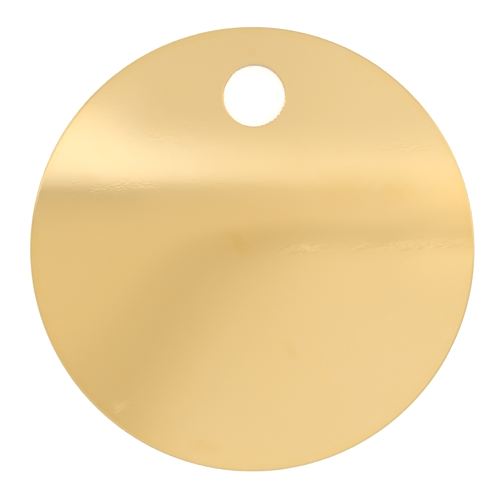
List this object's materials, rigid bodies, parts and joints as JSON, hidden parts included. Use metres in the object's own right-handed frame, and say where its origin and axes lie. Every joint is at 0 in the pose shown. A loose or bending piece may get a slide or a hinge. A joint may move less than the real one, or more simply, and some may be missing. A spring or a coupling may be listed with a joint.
{
  "type": "disc pendant",
  "caption": "Plain round pendant punched from thin polished sheet metal, with a hanging hole near its rim for a jump ring, bail or cord.",
  "frame": {"origin": "the middle of the disc's back face, on the surface that it lies on", "axes": "+Z out of the front face, +Y from the middle of the disc to the hanging hole"},
  "size_m": [0.013, 0.013, 0.0005],
  "materials": {
    "gold_plate": "gold-plated brass sheet, polished, with a faint rolled and tumbled texture"
  },
  "bodies": {
    "root": {"disc": "gold_plate"}
  },
  "joints": []
}
